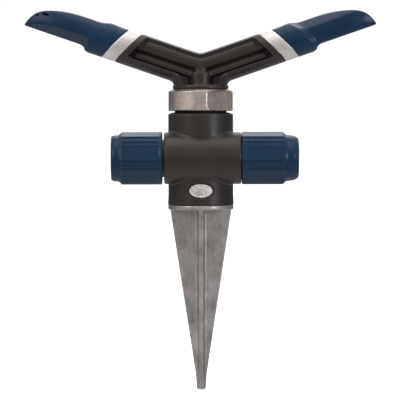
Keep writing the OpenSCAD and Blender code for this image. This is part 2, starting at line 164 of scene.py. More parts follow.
def dual_mesh(field, low, high, cell):
    """Vertices and quads of a field's zero surface: one vertex per cell that it crosses."""
    low = np.array(low, float)
    counts = np.ceil((np.array(high, float) - low) / cell).astype(int) + 1
    axes = [low[i] + cell * np.arange(counts[i]) for i in range(3)]
    values = field(*np.meshgrid(*axes, indexing="ij"))
    inside = values < 0
    strides = np.array([counts[1] * counts[2], counts[2], 1])
    ids, points, quads = [], [], []
    for axis in range(3):
        first = tuple(slice(0, -1) if i == axis else slice(None) for i in range(3))
        second = tuple(slice(1, None) if i == axis else slice(None) for i in range(3))
        crossed = inside[first] != inside[second]
        edge = np.argwhere(crossed)
        start, end = values[first][crossed], values[second][crossed]
        point = edge.astype(float)
        point[:, axis] += start / (start - end)
        b, c = (axis + 1) % 3, (axis + 2) % 3
        ring = []
        for back_b, back_c in ((0, 0), (1, 0), (1, 1), (0, 1)):
            corner = edge.copy()
            corner[:, b] -= back_b
            corner[:, c] -= back_c
            ring.append(corner @ strides)
        ids += ring
        points += [point] * 4
        ring = np.stack(ring, axis=1)
        outward = inside[first][crossed]
        ring[~outward] = ring[~outward][:, ::-1]
        quads.append(ring)
    cells, where = np.unique(np.concatenate(ids), return_inverse=True)
    points = np.concatenate(points)
    number = np.bincount(where)
    verts = np.stack([np.bincount(where, points[:, k]) / number for k in range(3)], axis=1)
    verts = verts * cell + low
    for _ in range(2):
        verts = verts - pull(field, verts, cell)
    return verts, np.searchsorted(cells, np.concatenate(quads))


def pull(field, verts, cell):
    """Newton step from each vertex onto the surface, at most half a cell."""
    eps = 0.1 * cell
    off = field(verts[:, 0], verts[:, 1], verts[:, 2])
    slope = np.empty_like(verts)
    for k in range(3):
        ahead, behind = verts.copy(), verts.copy()
        ahead[:, k] += eps
        behind[:, k] -= eps
        slope[:, k] = (field(*ahead.T) - field(*behind.T)) / (2 * eps)
    size = np.maximum((slope * slope).sum(1), 0.05)
    return slope * (np.clip(off, -cell / 2, cell / 2) / size)[:, None]


# ---------------------------------------------------------------- making pieces

def add_piece(name, verts, faces, body, material, replaces=(), flat_deg=None):
    """A mesh piece in millimetres that rides on a body and may stand for CAD nodes."""
    mesh = bpy.data.meshes.new(name)
    face_list = faces.tolist() if isinstance(faces, np.ndarray) else faces
    mesh.from_pydata((np.asarray(verts) * MM).tolist(), [], face_list)
    mesh.validate()
    mesh.shade_smooth()
    piece = bpy.data.objects.new(name, mesh)
    bpy.context.collection.objects.link(piece)
    mesh.materials.append(material)
    if flat_deg:
        mesh.set_sharp_from_angle(angle=math.radians(flat_deg))
    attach(piece, body)
    if replaces:
        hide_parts(*replaces)


def keep_node(node, material):
    """A CAD node that stays as it is, in a better material."""
    piece = bpy.data.objects[node]
    piece.data.materials.clear()
    piece.data.materials.append(material)


# ---------------------------------------------------------------- turned pieces

def rounded_profile(corners, arc_steps=4):
    """A polyline of (along, radius, corner radius) with its corners turned into arcs."""
    out = []
    last = len(corners) - 1
    for i, (x, r, round_r) in enumerate(corners):
        here = np.array([x, r], float)
        if round_r <= 0 or i in (0, last):
            out.append(here)
            continue
        back = np.array(corners[i - 1][:2], float) - here
        ahead = np.array(corners[i + 1][:2], float) - here
        lengths = np.hypot(*back), np.hypot(*ahead)
        back, ahead = back / lengths[0], ahead / lengths[1]
        half = math.acos(np.clip(back @ ahead, -1, 1)) / 2
        reach = min(round_r / math.tan(half), lengths[0] * 0.45, lengths[1] * 0.45)
        start, end = here + back * reach, here + ahead * reach
        for j in range(arc_steps + 1):
            t = j / arc_steps
            out.append((1 - t) ** 2 * start + 2 * t * (1 - t) * here + t * t * end)
    return np.array(out)


def refine(points, longest):
    """The same polyline with no step longer than longest."""
    out = [points[0]]
    for a, b in zip(points[:-1], points[1:]):
        pieces = max(1, int(math.ceil(np.hypot(*(b - a)) / longest)))
        out += [a + (b - a) * j / pieces for j in range(1, pieces + 1)]
    return np.array(out)


def lathe(profile, shape):
    """Quads of a closed profile of (along, radius) turned around +X, then bent by shape.

    shape(angle, along, radius) returns the new radius. The angle is 0 at the front, -Y, and
    grows upward.
    """
    columns = LATHE_COLUMNS
    angle = np.arange(columns) * TAU / columns
    along = np.repeat(profile[:, 0][:, None], columns, axis=1)
    radius = np.repeat(profile[:, 1][:, None], columns, axis=1)
    turn = np.repeat(angle[None, :], len(profile), axis=0)
    radius = shape(turn, along, radius)
    verts = np.stack([along, -radius * np.cos(turn), radius * np.sin(turn)], axis=-1)
    rows = len(profile)
    row, col = np.meshgrid(np.arange(rows), np.arange(columns), indexing="ij")
    next_row, next_col = (row + 1) % rows, (col + 1) % columns
    quads = np.stack([row * columns + col, row * columns + next_col,
                      next_row * columns + next_col, next_row * columns + col], axis=-1)
    return verts.reshape(-1, 3), quads.reshape(-1, 4)


def on_hose_line(verts):
    """Moves a shape turned around +X onto the hose line."""
    return verts + np.array([0, LINE_Y, LINE_Z])


def upright(verts):
    """Stands a shape turned around +X on the rotor's axis, along becoming height."""
    return np.stack([-verts[:, 1], verts[:, 2], verts[:, 0]], axis=1) * np.array([-1, 1, 1])


# ---------------------------------------------------------------- arm frame

def to_world(verts, turn):
    """Arm coordinates (s outward, y, t upward across the arm) to the frame.

    turn is 0 for the right arm, and 180 for the left one.
    """
    s, y, t = verts.T
    x = s * math.cos(ARM_RISE) - t * math.sin(ARM_RISE)
    z = s * math.sin(ARM_RISE) + t * math.cos(ARM_RISE) + ARM_ROOT_Z
    sign = -1 if turn else 1
    return np.stack([sign * x, sign * y, z], axis=1)


def to_arm(out, z):
    """Arm coordinates s and t of a point out from the rotor's axis at height z."""
    rise = z - ARM_ROOT_Z
    s = out * math.cos(ARM_RISE) + rise * math.sin(ARM_RISE)
    t = -out * math.sin(ARM_RISE) + rise * math.cos(ARM_RISE)
    return s, t


def past_slant(s, y, t, edge):
    """Signed distance past the bowed, slanted cut that crosses the arm's axis at edge."""
    bow = BAND_BOW * (y / ARM_B) ** 2
    return (s + t * BAND_SLANT - bow - edge) / math.hypot(1, BAND_SLANT)


# ---------------------------------------------------------------- materials

class Nodes:
    """A small writer of node materials. Texture positions are in metres, on the object."""

    def __init__(self, name):
        self.material = bpy.data.materials.new(name)
        self.material.use_nodes = True
        self.tree = self.material.node_tree
        self.shader = self.tree.nodes["Principled BSDF"]
        self.place = self.add("ShaderNodeTexCoord").outputs["Object"]

    def add(self, kind, **values):
        node = self.tree.nodes.new(kind)
        for key, value in values.items():
            setattr(node, key, value)
        return node

    def link(self, source, target):
        self.tree.links.new(source, target)

    def stretched(self, x, y, z):
        node = self.add("ShaderNodeMapping")
        node.inputs["Scale"].default_value = (x, y, z)
        self.link(self.place, node.inputs["Vector"])
        return node.outputs["Vector"]

    def noise(self, scale, detail=4.0, rough=0.55, place=None, distortion=0.0):
        node = self.add("ShaderNodeTexNoise")
        node.inputs["Scale"].default_value = scale
        node.inputs["Detail"].default_value = detail
        node.inputs["Roughness"].default_value = rough
        node.inputs["Distortion"].default_value = distortion
        self.link(place or self.place, node.inputs["Vector"])
        return node.outputs["Fac"]

    def ramp(self, value, stops):
        node = self.add("ShaderNodeValToRGB")
        ramp = node.color_ramp
        while len(ramp.elements) < len(stops):
            ramp.elements.new(0.5)
        for element, (position, colour) in zip(ramp.elements, stops):
            element.position = position
            element.color = (*colour, 1)
        self.link(value, node.inputs["Fac"])
        return node.outputs["Color"]

    def to_range(self, value, low, high, from_low=0.3, from_high=0.7):
        node = self.add("ShaderNodeMapRange")
        for key, number in (("From Min", from_low), ("From Max", from_high),
                            ("To Min", low), ("To Max", high)):
            node.inputs[key].default_value = number
        self.link(value, node.inputs["Value"])
        return node.outputs["Result"]

    def math(self, operation, a, b):
        node = self.add("ShaderNodeMath", operation=operation)
        for socket, value in zip(node.inputs, (a, b)):
            if isinstance(value, (int, float)):
                socket.default_value = value
            else:
                self.link(value, socket)
        return node.outputs["Value"]

    def mix(self, factor, a, b, blend="MIX"):
        node = self.add("ShaderNodeMix", data_type="RGBA", blend_type=blend)
        for key, value in (("Factor", factor), ("A", a), ("B", b)):
            socket = next(i for i in node.inputs if i.name == key and i.enabled)
            if isinstance(value, (int, float)):
                socket.default_value = value
            elif isinstance(value, tuple):
                socket.default_value = (*value, 1)
            else:
                self.link(value, socket)
        return next(o for o in node.outputs if o.enabled)

    def finish(self, colour, roughness, bumps=(), metallic=0.0, **plain):
        self.link(colour, self.shader.inputs["Base Color"])
        self.link(roughness, self.shader.inputs["Roughness"])
        self.shader.inputs["Metallic"].default_value = metallic
        for key, value in plain.items():
            self.shader.inputs[key.replace("_", " ")].default_value = value
        normal = None
        for height, strength, distance in bumps:
            bump = self.add("ShaderNodeBump")
            bump.inputs["Strength"].default_value = strength
            bump.inputs["Distance"].default_value = distance
            self.link(height, bump.inputs["Height"])
            if normal:
                self.link(normal, bump.inputs["Normal"])
            normal = bump.outputs["Normal"]
        if normal:
            self.link(normal, self.shader.inputs["Normal"])
        return self.material


def cast_zinc():
    """Mottled grey casting: flow marks, dark specks and a fine sandy skin."""
    n = Nodes("cast_zinc")
    mottle = n.noise(90, detail=7, rough=0.62, distortion=0.6)
    flow = n.noise(1, detail=5, rough=0.6, place=n.stretched(420, 420, 60))
    both = n.math("ADD", n.math("MULTIPLY", mottle, 0.65), n.math("MULTIPLY", flow, 0.35))
    colour = n.ramp(both, [(0.30, (0.31, 0.286, 0.274)), (0.46, (0.46, 0.430, 0.414)),
                           (0.58, (0.55, 0.518, 0.502)), (0.74, (0.69, 0.655, 0.635))])
    specks = n.ramp(n.noise(1500, detail=2), [(0.34, (0.45, 0.45, 0.45)), (0.44, (1, 1, 1))])
    colour = n.mix(0.55, colour, specks, "MULTIPLY")
    # Above the flange, on the plug and its lugs, the skin is brighter
    split = n.add("ShaderNodeSeparateXYZ")
    n.link(n.place, split.inputs[0])
    above_flange = n.to_range(split.outputs["Z"], 0, 1, 0.0035, 0.0045)
    bright = n.ramp(n.noise(700, detail=5), [(0.35, (0.55, 0.52, 0.51)),
                                             (0.60, (0.93, 0.88, 0.87))])
    colour = n.mix(above_flange, colour, bright)
    roughness = n.to_range(mottle, 0.34, 0.58)
    sand = n.noise(1900, detail=3)
    bumps = [(mottle, 0.25, 0.0006), (sand, 0.22, 0.00025)]
    return n.finish(colour, roughness, bumps, metallic=0.9)


def nut_zinc():
    """Tumbled nut: warmer and brighter, with faint drawn marks."""
    n = Nodes("nut_zinc")
    cloud = n.noise(120, detail=6, rough=0.6)
    lines = n.noise(1, detail=4, place=n.stretched(900, 900, 120))
    colour = n.ramp(cloud, [(0.32, (0.49, 0.42, 0.365)), (0.52, (0.63, 0.55, 0.485)),
                            (0.72, (0.75, 0.665, 0.595))])
    roughness = n.to_range(lines, 0.26, 0.42)
    grit = n.noise(2200, detail=2)
    return n.finish(colour, roughness, [(lines, 0.18, 0.0003), (grit, 0.15, 0.0002)], metallic=1.0)


def brushed_band():
    """Thin stainless band, brushed around the arm."""
    n = Nodes("brushed_band")
    brush = n.noise(1, detail=5, rough=0.7, place=n.stretched(2600, 160, 420))
    cloud = n.noise(70, detail=3)
    colour = n.ramp(cloud, [(0.3, (0.66, 0.63, 0.615)), (0.7, (0.76, 0.73, 0.715))])
    roughness = n.to_range(brush, 0.44, 0.54)
    return n.finish(colour, roughness, [(brush, 0.22, 0.00015)], metallic=1.0)


def moulded_plastic(name, dark, light, rough_low, rough_high, specular):
    """Satin moulded plastic: fine spark grain, faint clouds and dust."""
    n = Nodes(name)
    cloud = n.noise(55, detail=5, rough=0.6)
    colour = n.ramp(cloud, [(0.3, dark), (0.7, light)])
    grain = n.noise(2600, detail=2)
    smear = n.noise(26, detail=6, rough=0.7)
    roughness = n.to_range(smear, rough_low, rough_high)
    bumps = [(cloud, 0.06, 0.0008), (grain, 0.10, 0.00012)]
    return n.finish(colour, roughness, bumps, Specular_IOR_Level=specular)


def rubber():
    """Matt black rubber, slightly uneven."""
    n = Nodes("rubber")
    cloud = n.noise(300, detail=4)
    colour = n.ramp(cloud, [(0.3, (0.010, 0.010, 0.010)), (0.7, (0.020, 0.019, 0.019))])
    return n.finish(colour, n.to_range(cloud, 0.62, 0.8), [(n.noise(1800), 0.2, 0.0002)])


def acetal():
    """Milky white acetal."""
    n = Nodes("acetal")
    cloud = n.noise(160, detail=3)
    colour = n.ramp(cloud, [(0.3, (0.74, 0.73, 0.68)), (0.7, (0.82, 0.81, 0.77))])
    return n.finish(colour, n.to_range(cloud, 0.30, 0.42), [(n.noise(1500), 0.08, 0.0001)],
                    Subsurface_Weight=0.05)


def turned_brass():
    """Brass with fine turning rings."""
    n = Nodes("turned_brass")
    rings = n.noise(1, detail=4, place=n.stretched(60, 60, 2600))
    cloud = n.noise(140, detail=4)
    colour = n.ramp(cloud, [(0.3, (0.50, 0.34, 0.13)), (0.7, (0.70, 0.50, 0.21))])
    return n.finish(colour, n.to_range(rings, 0.22, 0.4), [(rings, 0.2, 0.0002)], metallic=1.0)


def woven_screen():
    """Stainless screen, with its weave only as a fine grain."""
    n = Nodes("woven_screen")
    cloud = n.noise(400, detail=3)
    colour = n.ramp(cloud, [(0.3, (0.48, 0.48, 0.47)), (0.7, (0.62, 0.62, 0.61))])
    return n.finish(colour, n.to_range(cloud, 0.25, 0.4), [(n.noise(3000), 0.2, 0.0001)],
                    metallic=1.0)


ZINC = cast_zinc()
NUT_ZINC = nut_zinc()
BAND = brushed_band()
BLACK = moulded_plastic("black_plastic", (0.0200, 0.0145, 0.0125), (0.0290, 0.0215, 0.0190),
                        0.31, 0.44, 0.45)
BLUE = moulded_plastic("blue_plastic", (0.0030, 0.0235, 0.0590), (0.0045, 0.0305, 0.0730),
                       0.25, 0.34, 0.27)
RUBBER = rubber()
ACETAL = acetal()
BRASS = turned_brass()
SCREEN = woven_screen()
KEPT_NODES = (
    ("inlet_tailpiece", BLACK), ("tailpiece_o_ring", RUBBER), ("inlet_washer", RUBBER),
    ("inlet_strainer", SCREEN), ("cap_washer", RUBBER), ("nut_gasket", RUBBER),
    ("stem_seal", RUBBER), ("lower_thrust_washer", ACETAL), ("upper_thrust_washer", ACETAL),
    ("bearing_sleeve", ACETAL), ("rotor_stem", BRASS), ("nozzle_o_ring_left", RUBBER),
    ("nozzle_o_ring_right", RUBBER))


# ---------------------------------------------------------------- ground spike

def spike_field(x, y, z):
    """Four drafted fins on a slim core, the flange, and the plug with its snap lugs."""
    root_w, tip_w = 21.0, 2.4                  # the fins' half width at root and tip
    tip_r, tip_lift = 2.4, 0.15                # round point, lifted to stay near the CAD's box
    fin_half, fin_swell = 1.6, 0.55            # half thickness at the edge, and what the root adds
    core_top = SPIKE_TIP_Z + 16
    plug_r, plug_bore_r, plug_floor = 19.3, 15, 4.4
    lug_back_r, lug_face_r = 15.5, 22.1
    down = np.clip(-z / (-SPIKE_TIP_Z - tip_w), 0, 1)
    width = root_w + (tip_w - root_w) * down
    length = slab(z, SPIKE_TIP_Z + tip_r - 2, 0.8)
    fins = None
    for along, across in ((x, y), (y, x)):
        thick = fin_half + fin_swell * np.clip(1 - np.abs(along) / np.maximum(width, 1), 0, 1)
        fin = smooth_max(np.abs(along) - width, np.abs(across) - thick, 0.7)
        fins = fin if fins is None else smooth_min(fins, fin, 2.2)
    fins = smooth_max(fins, length, 0.6)
    radius = np.hypot(x, y)
    tip = np.sqrt(radius ** 2 + (z - SPIKE_TIP_Z - tip_lift - tip_r) ** 2) - tip_r
    core = smooth_max(radius - tip_r, slab(z, SPIKE_TIP_Z + tip_r, core_top), 0.5)
    solid = smooth_min(smooth_min(fins, tip, 1.2), core, 2.0)
    flange = smooth_max(radius - FLANGE_R, slab(z, 0, SKIRT_Z), 0.8)
    solid = smooth_min(solid, flange, 1.0)
    plug = smooth_max(radius - plug_r, slab(z, 1, PLUG_TOP_Z), 0.6)
    plug = carve(plug, smooth_max(radius - plug_bore_r, -(z - plug_floor), 0.6))
    lug_edge = oval(x, z - LUG_Z, *LUG_HALF)
    # A rim round the lug's face, a shallow groove inside it, and a faint crown in the middle
    groove, crown = 0.28 * step(-lug_edge, 0.55, 1.15), 0.16 * step(-lug_edge, 1.6, 4.2)
    lug = smooth_max(lug_edge, radius - (lug_face_r - groove + crown), 0.5)
    lug = smooth_max(lug, lug_back_r - radius, 0.5)
    return np.minimum(np.minimum(solid, plug), lug)


def make_spike():
    half = 24
    low, high = (-half, -half, SPIKE_TIP_Z - 1.5), (half, half, PLUG_TOP_Z + 3)
    verts, faces = dual_mesh(spike_field, low, high, 0.5)
    add_piece("ground_spike_casting", verts, faces, "housing", ZINC, ["ground_spike"])


# ---------------------------------------------------------------- housing

def body_field(x, y, z):
    """Upright body and hose barrel with a small fillet between them, hollow inside."""
    neck_r, nipple_r = 16, 12.1
    skirt_bore_r, skirt_top, window_top = 19.5, 16.8, 18.4
    way_r, seat_r, seat_end_x = 9, 10.5, -12   # the water way, and the tailpiece's seat in it
    riser_r, cavity_r, cavity_z = 7, 10.6, BODY_TOP_Z - 4.2
    shoulder_r, shoulder_fall = 19.2, 0.4
    radius = np.hypot(x, y)
    flare = SKIRT_FLARE * (1 - step(z, SKIRT_Z, SKIRT_Z + 9))
    upright_part = smooth_max(radius - BODY_R - flare, slab(z, SKIRT_Z, BODY_TOP_Z), 0.3)
    shoulder = ((z - BODY_TOP_Z) + (radius - shoulder_r) * shoulder_fall) / 1.08
    upright_part = smooth_max(upright_part, shoulder, 0.4)
    across = np.hypot(y - LINE_Y, z - LINE_Z)
    barrel = smooth_max(across - BARREL_R, slab(x, BARREL_IN_X, BARREL_OUT_X), 1.4)
    solid = smooth_min(upright_part, barrel, 1.4)
    neck = smooth_max(radius - neck_r, slab(z, BODY_TOP_Z - 2, NECK_TOP_Z), 0.6)
    nipple = smooth_max(across - nipple_r, slab(x, BARREL_OUT_X - 2, NIPPLE_END_X), 0.6)
    solid = np.minimum(np.minimum(solid, neck), nipple)
    solid = carve(solid, smooth_max(radius - skirt_bore_r, z - skirt_top, 0.6))
    window = oval(x, z - LUG_Z, LUG_HALF[0] + 0.5, LUG_HALF[1] + 0.5)
    solid = carve(solid, smooth_max(window, z - window_top, 0.3), 0.6)
    solid = carve(solid, across - way_r)
    solid = carve(solid, smooth_max(across - seat_r, x - seat_end_x, 0.3))
    solid = carve(solid, smooth_max(radius - riser_r, LINE_Z - z, 0.3))
    return carve(solid, smooth_max(radius - cavity_r, cavity_z - z, 0.3))


def make_body():
    verts, faces = dual_mesh(body_field, BODY_LOW - 1.5, BODY_HIGH + 1.5, 0.5)
    add_piece("housing_moulding", verts, faces, "housing", BLACK, ["body"])
    make_thread("outlet_thread", BARREL_OUT_X + 2.2, NIPPLE_END_X - 1.2, 12.0, 13.3, "housing",
                BLACK)


def make_thread(name, start, end, root_r, crest_r, body, material, lag=0.0):
    """A right-hand thread ridge on the hose line, fading out at both ends.

    Its angle is counted from the outlet's end of the barrel, less lag turns, so that two
    threads that are half a turn apart mesh.
    """
    per_turn = 64
    fade_rate = 12               # full height after a twelfth of the length
    steps = int((end - start) / THREAD_PITCH * per_turn)
    section = [(-0.85, 0.0), (-0.32, 1.0), (0.32, 1.0), (0.85, 0.0)]   # along, height
    verts = []
    for i in range(steps + 1):
        t = i / steps
        along = start + (end - start) * t
        angle = -((along - BARREL_OUT_X) / THREAD_PITCH - lag) * TAU
        fade = min(1, fade_rate * t, fade_rate * (1 - t))
        for offset, height in section:
            r = root_r + (crest_r - root_r) * height * fade
            verts.append((along + offset * (0.4 + 0.6 * fade), -r * math.cos(angle),
                          r * math.sin(angle)))
    faces = [(3, 2, 1, 0), tuple(steps * 4 + j for j in range(4))]
    for i in range(steps):
        for j in range(4):
            a, b = i * 4 + j, i * 4 + (j + 1) % 4
            faces.append((a, b, b + 4, a + 4))
    # The quads above face the right way on an inward ridge only
    if crest_r > root_r:
        faces = [face[::-1] for face in faces]
    add_piece(name, on_hose_line(np.array(verts)), faces, body, material, flat_deg=40)


# ---------------------------------------------------------------- hose collars

GRIP_LANDS = 6
GRIP_SKIN = 1.4              # the grooves bend only what lies this close to the grip's radius
GROOVE_FADE = 1.1            # length over which they run out at each end
LAND_CENTRE = math.radians(14.5)
LAND_HALF = math.radians(18)
# Depth below the grip's radius, from a land's edge, down a groove and up to a rib, in degrees
GROOVE_DEG = (18, 19, 21, 22.5, 27, 28.5, 30)
GROOVE_DEPTH = (0, 0.25, 0.95, 0.95, 0.30, 0.15, 0.15)


def grooved(x_start, x_end):
    """A lathe shape with flat lands, and a groove, a rib and a groove between each two."""
    pitch = TAU / GRIP_LANDS

    def shape(angle, along, radius):
        from_land = np.abs((angle - LAND_CENTRE + pitch / 2) % pitch - pitch / 2)
        flat = GRIP_R * (1 - math.cos(LAND_HALF) / np.cos(np.minimum(from_land, LAND_HALF)))
        sink = flat + np.interp(np.degrees(from_land), GROOVE_DEG, GROOVE_DEPTH)
        length = step(along, x_start, x_start + GROOVE_FADE)
        length = length * (1 - step(along, x_end - GROOVE_FADE, x_end))
        return np.where(radius > GRIP_R - GRIP_SKIN, radius - sink * length, radius)
    return shape


def make_inlet_coupling():
    mouth, back = COLLAR_LOW[0], COLLAR_HIGH[0]
    rim_x = mouth + 5.3
    rim_r = 15.75
    thread_end = WASHER_LOW[0] - 0.8       # the thread's wall stops just before the washer
    seat_r, back_bore_r = 12.9, 13.1
    lip_start, lip_end = TAIL_LOW[0] + 2.6, TAIL_LOW[0] + 7.1
    lip_r = 10.08                          # inner lip that rides in the tailpiece's groove
    profile = rounded_profile([
        (back, 14.6, 0), (back, GRIP_R, 0.9), (rim_x + 1.9, GRIP_R, 0.7), (rim_x, rim_r + 0.4, 0.5),
        (rim_x - 0.6, rim_r, 0.4), (mouth + 2.4, rim_r, 1.6), (mouth + 0.5, 15.2, 1.2),
        (mouth + 0.05, 14.8, 0.5), (mouth, 14.2, 0.3),
        (mouth + 1.2, HOSE_WALL_R, 0.3), (thread_end, HOSE_WALL_R, 0.2), (thread_end, seat_r, 0.2),
        (lip_start, seat_r, 0.2), (lip_start, lip_r, 0.2), (lip_end, lip_r, 0.2),
        (lip_end, back_bore_r, 0.2), (back, back_bore_r, 0.2), (back, 14.5, 0)])
    profile = refine(profile, 1.0)
    verts, faces = lathe(profile[::-1], grooved(rim_x + 0.4, back - 1.0))
    add_piece("inlet_collar_moulding", on_hose_line(verts), faces, "inlet_collar",
              BLUE, ["inlet_coupling"], flat_deg=50)
    make_thread("inlet_thread", mouth + 3.0, thread_end - 1.0, HOSE_WALL_R + 0.1, 12.35,
                "inlet_collar", BLUE)


def make_outlet_cap():
    mouth, end = CAP_LOW[0], CAP_HIGH[0]
    grip_end = end - 9.1
    end_wall, relief_r = 4, 10.5
    axis_r = 0.02                          # the closed end stops this short of the axis
    profile = rounded_profile([
        (mouth, 14.4, 0), (mouth, GRIP_R, 0.9), (grip_end - 1.9, GRIP_R, 0.7),
        (grip_end, 16.1, 0.5), (grip_end + 1.0, 15.75, 0.6), (end - 3.4, 15.2, 3.0),
        (end - 0.3, 13.5, 1.8), (end, 6, 0), (end, axis_r, 0)], 7)
    inside = rounded_profile([
        (end - end_wall, axis_r, 0), (end - end_wall, relief_r, 0.8),
        (SEAL_HIGH[0] + 0.3, relief_r, 0.3),
        (SEAL_HIGH[0] + 0.3, HOSE_WALL_R, 0.3), (mouth + 0.6, HOSE_WALL_R, 0.3), (mouth, 14.3, 0)])
    whole = np.concatenate([refine(profile, 1.0), refine(inside, 1.5)])
    verts, faces = lathe(whole[::-1], grooved(mouth - 2, grip_end + 0.2))
    add_piece("outlet_cap_moulding", on_hose_line(verts), faces, "cap", BLUE,
              ["outlet_cap"], flat_deg=50)
    make_thread("cap_thread", mouth + 2.0, SEAL_LOW[0] - 1.0, HOSE_WALL_R + 0.1, 12.4, "cap",
                BLUE, lag=0.5)


# ---------------------------------------------------------------- bearing nut

def make_nut():
    """Nut with two wrench flats that stop short of its chamfered ends."""
    flat_turn = math.radians(45)
    apothem, flat_half_w = 18.3, 12.7
    thread_r, bore_r, ceiling_z = 16.1, 7.6, 73.4
    low, high = NUT_BASE_Z, NUT_TOP_Z
    flat_low, flat_high = low + 1.2, high - 1.9

    def flats(angle, along, radius):
        """The lathe's radius cut back to the flats, with a steep ledge round each."""
        turn = angle - flat_turn
        limit = apothem / np.maximum(np.abs(np.cos(turn)), 1e-3)
        across = radius * np.sin(turn)
        middle, half = (flat_low + flat_high) / 2, (flat_high - flat_low) / 2
        outside = rounded_rect(across, along - middle, flat_half_w, half, 2.4)
        limit = limit + np.maximum(outside, 0) * 4
        return np.where(radius > thread_r + 0.5, smooth_min(radius, limit, 0.25), radius)

    profile = rounded_profile([
        (low, 17.2, 0), (low, NUT_R - 0.6, 0.3), (low + 0.6, NUT_R, 0.3), (high - 1.5, NUT_R, 0.4),
        (high, NUT_R - 3, 0.3), (high, bore_r, 0.2), (ceiling_z, bore_r, 0.2),
        (ceiling_z, thread_r, 0.2), (low, thread_r, 0.2), (low, 17.1, 0)])
    profile = refine(profile, 0.35)
    verts, faces = lathe(profile, flats)
    add_piece("bearing_nut_casting", upright(verts), faces, "housing", NUT_ZINC,
              ["bearing_nut"], flat_deg=28)


# ---------------------------------------------------------------- rotor

def rotor_field(x, y, z):
    """Base disc, neck, and two ribbed arms that bend into each other over the centre."""
    bend = 2.0
    base_r, base_top = 19, ROTOR_Z + 2.1
    neck_r, neck_top = 18.2, ROTOR_Z + 9
    boss_r, boss_top = 8.3, ROTOR_Z + 11.5
    riser_r, riser_top = 5.4, ROTOR_Z + 16
    pocket_low, pocket_high = -6.0, 10.3       # the recess along the arm, in t
    pocket_half_w, pocket_half_h, pocket_lift = 13.6, 8.2, 8.6
    web_y, top_web_y = 1.8, 3.2                # where the recess ends, from the middle plane
    rib_low, rib_high, rib_y = -5.3, -1.5, 4.8
    stem_r, stem_depth = 5.65, 10
    bore_r, bore_depth = 4, 15
    water_r, spigot_r = 3.8, 5.75
    radius = np.hypot(x, y)
    deep = np.abs(y)
    out = np.sqrt(x * x + bend * bend)
    s, t = to_arm(out, z)

    # Outside of both arms and the neck
    arms = smooth_max(oval(t, y, ARM_A, ARM_B), past_slant(s, y, t, BAND_S), 0.5)
    neck = smooth_max(radius - neck_r, slab(z, ROTOR_Z, neck_top), 1.0)
    shell = np.maximum(smooth_min(arms, neck, 3.4), ROTOR_Z - z)

    # One recess in each face: along the arm, and down into the neck
    pocket_end = past_slant(s, y, t, BAND_S - 4.8)
    along = smooth_max(slab(t, pocket_low, pocket_high), pocket_end, 1.2)
    down = rounded_rect(out, z - (base_top + pocket_lift), pocket_half_w, pocket_half_h, 1.6)
    opening = smooth_min(along, down, 3.0)
    floor_y = np.where(t > 8, top_web_y, web_y)
    hollow = smooth_max(opening, floor_y - deep, 1.0)
    shell = carve(shell, hollow, 0.7)

    # Water tube, lower rib and boss stand in the recess
    from_tube = np.hypot(y, t - WATER_T)
    tube = smooth_max(from_tube - TUBE_R, past_slant(s, y, t, BAND_S - 6.6), 1.0)
    rib = smooth_max(slab(t, rib_low, rib_high), deep - rib_y, 1.0)
    rib = smooth_max(rib, past_slant(s, y, t, BAND_S - 7.2), 1.0)
    boss = smooth_max(radius - boss_r, slab(z, ROTOR_Z, boss_top), 1.2)
    inner = smooth_min(smooth_min(tube, rib, 0.5), boss, 0.9)
    solid = smooth_min(shell, inner, 0.6)
    collar_tube = np.maximum(from_tube - 4.8, past_slant(s, y, t, BAND_S - 2))
    riser = smooth_max(radius - riser_r, slab(z, ROTOR_Z, riser_top), 0.5)
    solid = smooth_min(solid, riser, 0.6)
    base = smooth_max(radius - base_r, slab(z, ROTOR_Z, base_top), 0.6)
    solid = smooth_min(np.minimum(solid, collar_tube), base, 1.2)
    spigot = smooth_max(from_tube - spigot_r, np.maximum(BAND_S - 8 - s, s - BAND_S - 15.7), 0.6)
    solid = np.minimum(solid, spigot)

    # Stepped bore for the stem, and the water's bore along both arms
    stem = np.minimum(np.maximum(radius - stem_r, z - ROTOR_Z - stem_depth),
                      np.maximum(radius - bore_r, z - ROTOR_Z - bore_depth))
    solid = carve(solid, stem, 0.3)
    return carve(solid, from_tube - water_r, 0.3)


def make_rotor():
    half = 20.6
    low = (ROTOR_LOW[0] - 1.5, -half, ROTOR_LOW[2] - 1.6)
    high = (ROTOR_HIGH[0] + 1.5, half, ROTOR_HIGH[2] + 1.6)
    verts, faces = dual_mesh(rotor_field, low, high, 0.5)
    add_piece("rotor_moulding", verts, faces, "rotor", BLACK, ["rotor_arms"])


def make_band(name, node, turn):
    """A thin oval sleeve with slanted ends and rolled edges."""
    a, b = ARM_A - 0.2, ARM_B - 0.2
    wall, play, crown = 1.2, 0.12, 0.12
    rolled = ((0, -wall), (0, -0.35), (0.12, -0.1), (0.4, 0))          # along, out
    section = [(play + along, out) for along, out in rolled]
    width = BAND_W - 2 * play
    middle = [(play + width * f, crown * math.sin(math.pi * f)) for f in (0.2, 0.4, 0.6, 0.8)]
    section += middle + [(play + width - (x - play), out) for x, out in section[::-1]]
    columns = 128
    verts = []
    for along, out in section:
        for i in range(columns):
            angle = TAU * i / columns
            y = (b + out) * math.cos(angle)
            t = (a + out) * math.sin(angle)
            bow = BAND_BOW * (y / ARM_B) ** 2
            verts.append((BAND_S + along - t * BAND_SLANT + bow, y, t))
    faces = []
    rows = len(section)
    for row in range(rows):
        for i in range(columns):
            ahead, beside = (row + 1) % rows, (i + 1) % columns
            faces.append((row * columns + i, ahead * columns + i, ahead * columns + beside,
                          row * columns + beside))
    add_piece(name, to_world(np.array(verts), turn), faces, "rotor", BAND, [node],
              flat_deg=35)


# ---------------------------------------------------------------- nozzles

